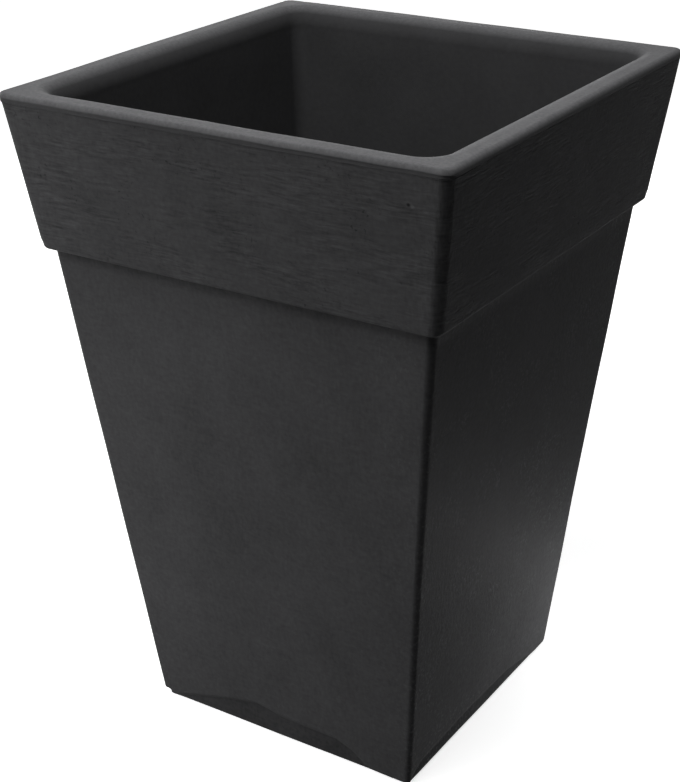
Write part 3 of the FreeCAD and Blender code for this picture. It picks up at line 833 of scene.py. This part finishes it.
def brushed_coat(finish):
    """Pigmented polyester gelcoat, brushed by hand over glass-fibre laminate and left matt. The eye
    sees short level strokes in patches on the collar, upright ones beside its corners, the
    laminate's weave on the body, pits and pale flecks, and a hollow over the base. The coat is
    painted darker in the hollow and under the collar, as painted shade."""
    made, tree, shader, place = new_material("brushed_gelcoat", 0.62, specular=MATT_SPECULAR)
    parts = node(tree, "ShaderNodeSeparateXYZ", {0: place}).outputs
    over_foot = maths(tree, "SUBTRACT", parts["Z"], COLLAR_Z)
    wide = maths(tree, "ABSOLUTE", parts["X"])
    deep = maths(tree, "ABSOLUTE", parts["Y"])
    from_edge = maths(
        tree, "SUBTRACT", maths(tree, "MAXIMUM", wide, deep), maths(tree, "MINIMUM", wide, deep))
    collar = ramp(tree, over_foot, *COLLAR_STARTS)
    body = maths(tree, "SUBTRACT", 1.0, collar)
    bent = warped(tree, place)

    # Relief: level and upright strokes on the collar, weave on the body, grain and pits on both.
    strokes = swing(tree, bent, STROKES, 3.0, 0.6)
    worked = ramp(tree, noise(tree, place, WORKED_PATCHES), 0.42, 0.60, 0.4, 1.35)
    upright = swing(tree, bent, UPRIGHT_STROKES)
    cornered = ramp(tree, from_edge, *UPRIGHTS_NEAR_CORNER, 0.12, 0.42)
    brushed = layered(tree, product(tree, strokes, worked), (upright, cornered))
    weave = maths(tree, "ADD", swing(tree, bent, WEFT), swing(tree, bent, WARP))
    grain = swing(tree, place, GRAIN, 3.0)
    rough_patch = ramp(tree, noise(tree, place, ROUGH_PATCHES, 1.0), 0.47, 0.60)
    pits = ramp(tree, noise(tree, place, PITS, 1.0), 0.36, 0.27)
    pits = product(tree, pits, product(tree, rough_patch, collar))
    height = layered(
        tree, product(tree, collar, brushed), (product(tree, body, 0.22), weave), (grain, 0.46),
        (pits, -0.3))
    right_side = ramp(tree, maths(tree, "SUBTRACT", parts["X"], deep), -0.004, 0.004)
    height = product(tree, height, ramp(tree, right_side, 0.0, 1.0, 1.0, 1.7))

    # Flecks where the coat has worn: along the body's lower edges, and on rough patches.
    low_edge = product(
        tree, ramp(tree, from_edge, *WORN_NEAR_CORNER), ramp(tree, parts["Z"], *WORN_BELOW))
    pebbled = product(
        tree, rough_patch, ramp(tree, parts["X"], *PEBBLED_RIGHT_OF, 0.15, 1.0), body)
    worn = maths(tree, "MAXIMUM", low_edge, pebbled)
    flecks = ramp(tree, noise(tree, place, FLECKS), 0.555, 0.66)
    flecks = product(tree, flecks, worn, ramp(tree, right_side, 0.0, 1.0, 0.35, 1.9))

    # Tone: faint clouds, the relief's own light and dark, flecks, painted shade in the pinhole and
    # a painted highlight on its nib, and painted shade in the hollow and under the collar, where
    # the tucked-in foot and the collar's step would be shaded.
    pinhole_shade = spot_at(tree, place, PINHOLE, *PINHOLE_REACH)
    nib_highlight = spot_at(tree, place, PINHOLE_NIB, *NIB_REACH)
    # Painted shade in the hollow over the base edge, by the share kept on the shell's points.
    pressed = node(tree, "ShaderNodeAttribute", attribute_name=HOLLOW_SHADE).outputs["Fac"]
    # Painted shade under the collar's step, in a band on the body just below it.
    under = product(tree, ramp(tree, over_foot, *SHADE_UNDER_COLLAR), body)
    clouds = ramp(tree, noise(tree, bent, CLOUDS, 5.0, 0.62), 0.3, 0.7, 0.87, 1.12)
    tone = layered(
        tree, clouds, (height, finish.stroke_contrast), (flecks, 0.42), (pinhole_shade, -0.75),
        (nib_highlight, 0.45), (pressed, -0.30), (under, -0.40))
    tree.links.new(times(tree, finish.coat, tone), shader.inputs["Base Color"])
    tree.links.new(ramp(tree, grain, -0.5, 0.5, 0.54, 0.72), shader.inputs["Roughness"])
    relief(tree, shader, height, finish.stroke_depth)
    return made


def smooth_coat(finish):
    """The same gelcoat, taken from a polished mould. The eye sees a soft sheen with a slight orange
    peel, and the rim's level top mottled and painted paler: a painted highlight for the light that
    falls on it from above."""
    made, tree, shader, place = new_material("moulded_gelcoat", 0.5, specular=MATT_SPECULAR)
    height = node(tree, "ShaderNodeSeparateXYZ", {0: place}).outputs["Z"]
    # Painted highlight on the rim's level top: the coat is made paler there, with a mottle through
    # it.
    level = ramp(tree, maths(tree, "SUBTRACT", height, RIM_TOP), *HIGHLIGHT_ON_RIM_TOP)
    peel = swing(tree, place, ORANGE_PEEL)
    mottle = swing(tree, place, RIM_TOP_MOTTLE, 3.0, 0.6)
    rim_top_highlight = layered(
        tree, finish.rim_top_highlight, (mottle, 2.0), (swing(tree, place, RIM_TOP_PATCHES), 0.8))
    clouds = ramp(tree, noise(tree, place, MOULD_CLOUDS, 4.0), 0.3, 0.7, 0.92, 1.08)
    tone = layered(tree, clouds, (level, rim_top_highlight), (peel, 0.25))
    tree.links.new(times(tree, finish.coat, tone), shader.inputs["Base Color"])
    tree.links.new(ramp(tree, peel, -0.5, 0.5, 0.42, 0.60), shader.inputs["Roughness"])
    relief(tree, shader, maths(tree, "ADD", peel, mottle), MOULD_RELIEF)
    return made


def grained(name, rgb, roughness, spread, sizes, depth, **extra):
    """A finish whose colour, roughness and height follow one noise of given sizes along X, Y and
    Z. spread is how far its colour strays, and depth how deep its relief is."""
    made, tree, shader, place = new_material(name, roughness, **extra)
    grain = noise(tree, place, sizes, detail=4.0, rough=0.6)
    tone = ramp(tree, grain, 0.3, 0.7, 1.0 - spread, 1.0 + spread)
    tree.links.new(times(tree, rgb, tone), shader.inputs["Base Color"])
    rough = ramp(tree, grain, 0.0, 1.0, roughness * 0.85, min(1.0, roughness * 1.15))
    tree.links.new(rough, shader.inputs["Roughness"])
    relief(tree, shader, grain, depth)
    return made


# ---- operators ---------------------------------------------------------------------------

class PlanterShell(bpy.types.Operator):
    """Build the outer shell and the bead of resin in its seam"""
    bl_idname = "planter.shell"
    bl_label = "Shell"

    def execute(self, context):
        scene = context.scene
        coat = brushed_coat(scene.planter_finish)
        shell = shell_surface(scene.planter_shape)
        bead = seam_bead_surface(scene.planter_shape)
        for piece in (shell, bead):
            dressed(piece, coat)
            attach(piece, "planter")
        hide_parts("outer_shell")
        return {"FINISHED"}


class PlanterLiner(bpy.types.Operator):
    """Build the rolled rim and the liner"""
    bl_idname = "planter.liner"
    bl_label = "Rim and liner"

    def execute(self, context):
        scene = context.scene
        coat = smooth_coat(scene.planter_finish)
        rim = rim_surface(scene.planter_shape)
        liner = liner_surface(scene.planter_shape)
        for piece in (rim, liner):
            dressed(piece, coat)
            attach(piece, "planter")
        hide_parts("rim_cap")
        panels = [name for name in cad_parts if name.startswith("liner_panel_")]
        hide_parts("liner_floor", "corner_beads", *panels)
        return {"FINISHED"}


class PlanterCore(bpy.types.Operator):
    """Finish the foam, wood and plywood between the skins"""
    bl_idname = "planter.core"
    bl_label = "Core"

    def execute(self, context):
        finish = context.scene.planter_finish
        # Rigid polyurethane foam, cut with a wire: fine open cells, dull.
        foam = grained(
            "cut_foam", finish.foam, roughness=0.9, spread=0.06,
            sizes=(0.0012,) * 3, depth=0.0003)
        # Sawn softwood: grain along the rail, and saw marks across it.
        wood = grained(
            "sawn_softwood", finish.softwood, roughness=0.75, spread=0.18,
            sizes=(0.012, 0.012, 0.003), depth=0.0003)
        # Exterior plywood, sealed: level plies seen on its edges.
        plywood = grained(
            "sealed_plywood", finish.plywood, roughness=0.6, spread=0.15,
            sizes=(0.05, 0.006, 0.0015), depth=0.0002)
        for name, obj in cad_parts.items():
            if name.startswith("core_board_"):
                dressed(obj, foam)
            elif name.startswith("rim_rail_"):
                dressed(obj, wood)
            elif name == "floor_core":
                dressed(obj, plywood)
        return {"FINISHED"}


class PlanterShelf(bpy.types.Operator):
    """Finish the lift-out shelf and its cleats"""
    bl_idname = "planter.shelf"
    bl_label = "Shelf"

    def execute(self, context):
        # Glass-fibre laminate with its rough side showing: matted strands under a thin coat.
        laminate = grained(
            "rough_laminate", context.scene.planter_finish.shelf, roughness=0.7, spread=0.14,
            sizes=(0.009,) * 3, depth=0.0005, specular=0.3)
        for name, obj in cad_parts.items():
            if name == "shelf" or name.startswith("shelf_cleat_"):
                dressed(obj, laminate)
        return {"FINISHED"}


class PlanterFittings(bpy.types.Operator):
    """Finish the drain, the plug, the feet and their screws"""
    bl_idname = "planter.fittings"
    bl_label = "Fittings"

    def execute(self, context):
        finish = context.scene.planter_finish
        # Moulded rubber: fine matt grain.
        rubber = grained(
            "moulded_rubber", finish.rubber, roughness=0.78, spread=0.08,
            sizes=(0.0015,) * 3, depth=0.00008)
        # Moulded nylon: low sheen with faint flow lines.
        nylon = grained(
            "moulded_nylon", finish.nylon, roughness=0.42, spread=0.05,
            sizes=(0.01, 0.01, 0.003), depth=0.00004)
        # Turned stainless steel.
        steel = grained(
            "turned_steel", finish.steel, roughness=0.3, spread=0.04,
            sizes=(0.004, 0.004, 0.0004), depth=0.00002, metallic=1.0)
        for name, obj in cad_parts.items():
            if name.startswith("foot_screws"):
                dressed(obj, steel)
            elif name.startswith("foot_") or name in ("drain_plug", "drain_gasket"):
                dressed(obj, rubber)
            elif name in ("drain_sleeve", "drain_nut"):
                dressed(obj, nylon)
        return {"FINISHED"}


def view_frame():
    """The camera's right, up and back directions, with its roll."""
    back = Vector((
        math.sin(VIEW_AZIMUTH) * math.cos(VIEW_ELEVATION),
        -math.cos(VIEW_AZIMUTH) * math.cos(VIEW_ELEVATION),
        math.sin(VIEW_ELEVATION)))
    level = Vector((0.0, 0.0, 1.0)).cross(back).normalized()
    rise = back.cross(level)
    right = level * math.cos(VIEW_ROLL) + rise * math.sin(VIEW_ROLL)
    up = rise * math.cos(VIEW_ROLL) - level * math.sin(VIEW_ROLL)
    return right, up, back


def add_camera():
    """A camera at the photograph's angle, which sees its frame."""
    right, up, back = view_frame()
    data = bpy.data.cameras.new("camera")
    data.lens = FOCAL_PIXELS / PICTURE_HEIGHT * data.sensor_width
    camera = bpy.data.objects.new("camera", data)
    bpy.context.collection.objects.link(camera)
    aim = Vector((0.0, 0.0, AIM_HEIGHT)) + right * AIM_RIGHT + up * AIM_UP
    turn = Matrix((right, up, back)).transposed().to_4x4()
    camera.matrix_world = Matrix.Translation(aim + back * VIEW_DISTANCE) @ turn
    bpy.context.scene.camera = camera


def add_lamp(name, watts, place, aim, width):
    """A square soft lamp at a place, which faces another."""
    data = bpy.data.lights.new(name, "AREA")
    data.energy = watts
    data.size = width
    lamp = bpy.data.objects.new(name, data)
    bpy.context.collection.objects.link(lamp)
    lamp.location = place
    lamp.visible_camera = False
    lamp.rotation_euler = (Vector(aim) - Vector(place)).to_track_quat("-Z", "Y").to_euler()


def camera_sees(tree):
    """1 for what the camera sees, straight, in a gloss or through glass, and 0 for light that
    only falls on things."""
    rays = node(tree, "ShaderNodeLightPath").outputs
    seen = maths(tree, "MAXIMUM", rays["Is Camera Ray"], rays["Is Glossy Ray"])
    return maths(tree, "MAXIMUM", seen, rays["Is Transmission Ray"])


def add_floor(settings):
    """A pale floor that the camera sees nearly white, and that lights the planter as grey."""
    size = settings.floor_size
    mesh = bpy.data.meshes.new("floor")
    mesh.from_pydata(
        [(-size, -size, 0.0), (size, -size, 0.0), (size, size, 0.0), (-size, size, 0.0)],
        [], [(0, 1, 2, 3)])
    floor = bpy.data.objects.new("floor", mesh)
    bpy.context.collection.objects.link(floor)
    painted, tree, shader, place = new_material("floor_paint", 1.0, specular=0.0)
    shown = camera_sees(tree)
    tone = node(tree, "ShaderNodeMix", {
        "Factor": shown, 6: solid(settings.bounce), 7: solid(settings.floor)},
        data_type="RGBA").outputs[2]
    tree.links.new(tone, shader.inputs["Base Color"])
    tree.links.new(tone, shader.inputs["Emission Color"])
    away = node(tree, "ShaderNodeVectorMath", {0: place}, operation="LENGTH").outputs["Value"]
    glow = ramp(tree, away, GLOW_FROM, GLOW_TO, settings.glow, GLOW_FAR)
    tree.links.new(product(tree, shown, glow), shader.inputs["Emission Strength"])
    mesh.materials.append(painted)


def add_sky(settings):
    """A white surround for the camera, and a faint even light for the planter."""
    world = bpy.data.worlds.new("studio")
    world.use_nodes = True
    tree = world.node_tree
    tree.nodes.clear()
    strength = ramp(tree, camera_sees(tree), 0.0, 1.0, settings.sky, 1.0)
    sky = node(tree, "ShaderNodeBackground", {
        "Color": solid((1.0, 1.0, 1.0)), "Strength": strength})
    node(tree, "ShaderNodeOutputWorld", {"Surface": sky.outputs[0]})
    bpy.context.scene.world = world


class PlanterStageBuild(bpy.types.Operator):
    """Build the floor, the lamps and the camera"""
    bl_idname = "planter.stage"
    bl_label = "Stage"

    def execute(self, context):
        settings = context.scene.planter_stage
        add_floor(settings)
        add_sky(settings)
        context.scene.view_settings.view_transform = "Standard"
        for name, setting, spot, aim, width in LAMPS:
            add_lamp(name, getattr(settings, setting), spot, aim, width)
        add_camera()
        return {"FINISHED"}


class PlanterPanel(bpy.types.Panel):
    """Lists the planter's pieces and its settings"""
    bl_idname = "VIEW3D_PT_planter"
    bl_label = "Planter"
    bl_space_type = "VIEW_3D"
    bl_region_type = "UI"
    bl_category = "Planter"

    def draw(self, context):
        scene = context.scene
        for group in (scene.planter_shape, scene.planter_finish, scene.planter_stage):
            box = self.layout.box()
            for name in group.__annotations__:
                box.prop(group, name)
        for operator in OPERATORS:
            self.layout.operator(operator.bl_idname)


OPERATORS = (
    PlanterShell, PlanterLiner, PlanterCore, PlanterShelf, PlanterFittings, PlanterStageBuild)
CLASSES = (PlanterShape, PlanterFinish, PlanterStage, *OPERATORS, PlanterPanel)


def register():
    """Adds the classes and the scene's settings."""
    for cls in CLASSES:
        bpy.utils.register_class(cls)
    bpy.types.Scene.planter_shape = bpy.props.PointerProperty(type=PlanterShape)
    bpy.types.Scene.planter_finish = bpy.props.PointerProperty(type=PlanterFinish)
    bpy.types.Scene.planter_stage = bpy.props.PointerProperty(type=PlanterStage)


def unregister():
    """Takes them away again."""
    del bpy.types.Scene.planter_stage
    del bpy.types.Scene.planter_finish
    del bpy.types.Scene.planter_shape
    for cls in reversed(CLASSES):
        bpy.utils.unregister_class(cls)


def main():
    """Builds the planter and its stage."""
    register()
    bpy.ops.planter.shell()
    bpy.ops.planter.liner()
    bpy.ops.planter.core()
    bpy.ops.planter.shelf()
    bpy.ops.planter.fittings()
    bpy.ops.planter.stage()


if __name__ == "__main__":
    main()
